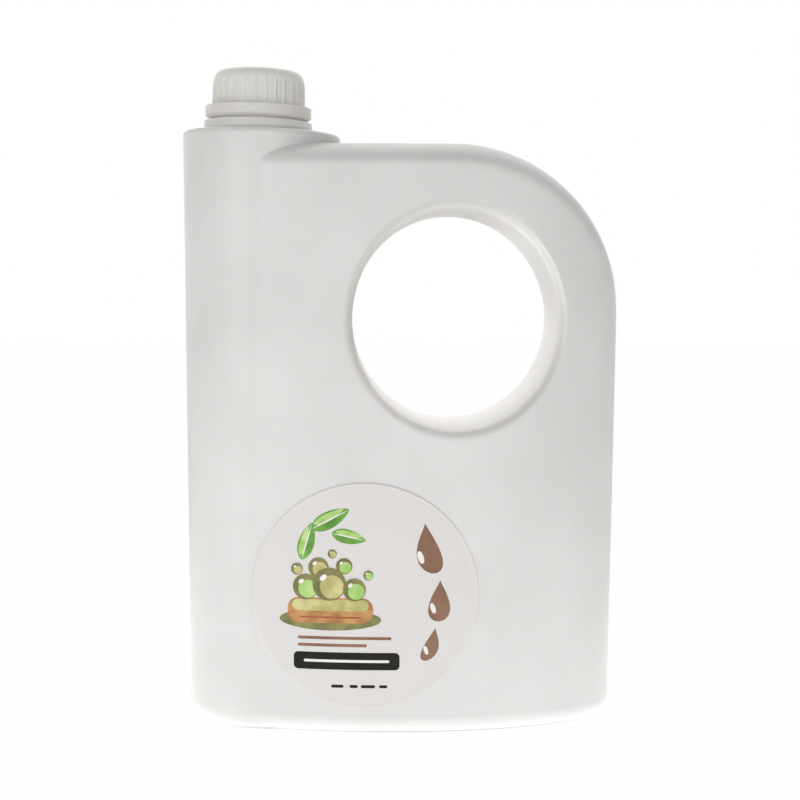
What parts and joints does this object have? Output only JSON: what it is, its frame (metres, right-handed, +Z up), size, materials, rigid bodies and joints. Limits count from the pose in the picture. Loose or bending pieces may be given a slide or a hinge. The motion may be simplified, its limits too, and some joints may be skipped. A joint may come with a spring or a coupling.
{
  "type": "hand soap refill pack",
  "caption": "Large milky refill jug for liquid hand soap: flattened blown body with a round hand hole, a neck column, a ribbed screw cap on a tamper band, and a round clear front label.",
  "frame": {"origin": "centre of the overall box, on the plane that the base stands on", "axes": "+Z up, +X from the neck column towards the hand hole, the label faces -Y"},
  "size_m": [0.222, 0.1005, 0.3302],
  "materials": {
    "milky_plastic": "translucent natural polyethylene, soft sheen",
    "white_plastic": "white moulded plastic, soft sheen",
    "white_foam": "closed-cell foam, matt",
    "clear_film": "clear printed film, glossy",
    "soap": "pearly liquid"
  },
  "bodies": {
    "jug": {"bottle": "milky_plastic", "soap_fill": "soap", "front_label": "clear_film", "tamper_band": "white_plastic"},
    "liner": {"cap_liner": "white_foam"},
    "cap": {"screw_cap": "white_plastic"}
  },
  "joints": [
    {"name": "cap_lift", "type": "slide", "parent": "jug", "child": "liner", "axis": [0.0244, 0, 0.9997], "range_m": [0, 0.0084]},
    {"name": "cap_twist", "type": "hinge", "parent": "liner", "child": "cap", "pos_m": [-0.0731, 0, 0.29835], "axis": [0.0244, 0, 0.9997], "range_deg": [0, 720]}
  ],
  "couplings": [
    {"joint": "cap_lift", "follows": "cap_twist", "m_per_rad": 0.00066845}
  ]
}
